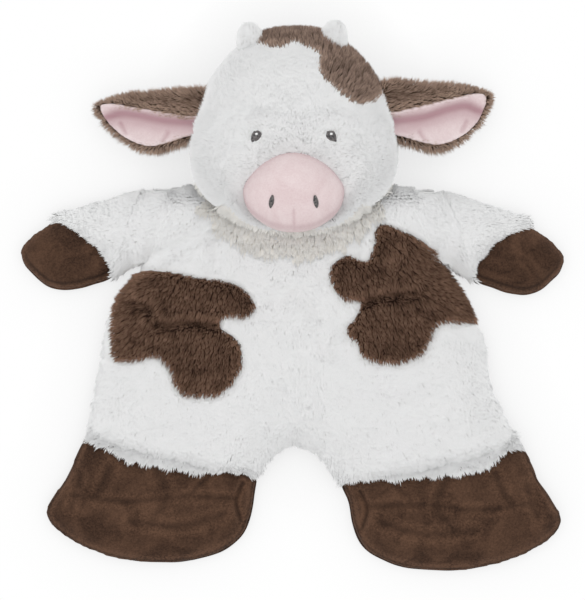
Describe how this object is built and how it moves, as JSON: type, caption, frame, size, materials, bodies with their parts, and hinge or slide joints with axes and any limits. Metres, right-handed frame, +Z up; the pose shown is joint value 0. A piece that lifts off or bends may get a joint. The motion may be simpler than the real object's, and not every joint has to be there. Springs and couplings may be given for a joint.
{
  "type": "weighted plush lap pad",
  "caption": "Weighted plush lap pad: a flat floppy cow lying face up, with a bead-filled quilted belly, stuffed head and hinged arms, feet and ears.",
  "frame": {"origin": "under the middle of the pad's outline, on the surface it lies on", "axes": "+Z up out of the belly and face, +Y from the feet to the head, +X to the right seen from above"},
  "size_m": [0.473, 0.4646, 0.097],
  "materials": {
    "plush_white": "long soft plush, combed",
    "plush_brown": "long soft plush, combed",
    "plush_brown_tipped": "long plush with paler tips",
    "velour_brown": "short velour with a nap",
    "velour_pink": "short velour with a nap",
    "thread_dark": "satin stitch embroidery",
    "thread_white": "satin stitch embroidery",
    "liner_cloth": "plain woven cotton",
    "glass_beads": "fine glass beads, poured",
    "fibre_filling": "polyester fibre filling"
  },
  "bodies": {
    "torso": {"front_panel": "plush_white", "back_panel": "plush_white", "shoulder_left": "plush_white", "shoulder_right": "plush_white", "belly_patch_left": "plush_brown", "belly_patch_right": "plush_brown", "liner_front": "liner_cloth", "liner_back": "liner_cloth", "bead_pocket_1": "glass_beads", "bead_pocket_2": "glass_beads", "bead_pocket_3": "glass_beads", "bead_pocket_4": "glass_beads", "bead_pocket_5": "glass_beads", "bead_pocket_6": "glass_beads", "bead_pocket_7": "glass_beads", "bead_pocket_8": "glass_beads", "bead_pocket_9": "glass_beads"},
    "head": {"face_panel": "plush_white", "crown_patch": "plush_brown", "head_back_panel": "plush_white", "head_filling": "fibre_filling", "muzzle_cover": "velour_pink", "muzzle_filling": "fibre_filling", "eye_left": "thread_dark", "eye_right": "thread_dark", "eye_glint_left": "thread_white", "eye_glint_right": "thread_white", "nostril_left": "thread_dark", "nostril_right": "thread_dark", "horn_left": "plush_white", "horn_right": "plush_white", "horn_filling_left": "fibre_filling", "horn_filling_right": "fibre_filling"},
    "ear_left": {"ear_back_left": "plush_brown_tipped", "ear_lining_left": "velour_pink"},
    "ear_right": {"ear_back_right": "plush_brown_tipped", "ear_lining_right": "velour_pink"},
    "arm_left": {"sleeve_front_left": "plush_white", "sleeve_back_left": "plush_white", "hand_hoof_front_left": "velour_brown", "hand_hoof_back_left": "velour_brown", "arm_filling_left": "fibre_filling"},
    "arm_right": {"sleeve_front_right": "plush_white", "sleeve_back_right": "plush_white", "hand_hoof_front_right": "velour_brown", "hand_hoof_back_right": "velour_brown", "arm_filling_right": "fibre_filling"},
    "foot_left": {"foot_top_left": "velour_brown", "foot_sole_left": "velour_brown", "foot_filling_left": "fibre_filling"},
    "foot_right": {"foot_top_right": "velour_brown", "foot_sole_right": "velour_brown", "foot_filling_right": "fibre_filling"}
  },
  "joints": [
    {"name": "neck_nod", "type": "hinge", "parent": "torso", "child": "head", "pos_m": [0.001, 0.07546, 0.0085], "axis": [1, 0, 0], "range_deg": [-50, 10]},
    {"name": "ear_flap_left", "type": "hinge", "parent": "head", "child": "ear_left", "pos_m": [-0.079, 0.16176, 0.04], "axis": [0.2402, 0.9707, 0], "range_deg": [-20, 40], "stiffness_Nm_per_rad": 0.03},
    {"name": "ear_flap_right", "type": "hinge", "parent": "head", "child": "ear_right", "pos_m": [0.081, 0.16176, 0.04], "axis": [0.2402, -0.9707, 0], "range_deg": [-20, 40], "stiffness_Nm_per_rad": 0.03},
    {"name": "shoulder_left", "type": "hinge", "parent": "torso", "child": "arm_left", "pos_m": [-0.1198, 0.06476, 0.0085], "axis": [0.3404, 0.9403, 0], "range_deg": [-60, 80]},
    {"name": "shoulder_right", "type": "hinge", "parent": "torso", "child": "arm_right", "pos_m": [0.1198, 0.06476, 0.0085], "axis": [0.3404, -0.9403, 0], "range_deg": [-60, 80]},
    {"name": "ankle_left", "type": "hinge", "parent": "torso", "child": "foot_left", "pos_m": [-0.1045, -0.13354, 0.0085], "axis": [-0.9752, 0.2213, 0], "range_deg": [-45, 60]},
    {"name": "ankle_right", "type": "hinge", "parent": "torso", "child": "foot_right", "pos_m": [0.11875, -0.14054, 0.0085], "axis": [-0.9781, -0.208, 0], "range_deg": [-45, 60]}
  ]
}
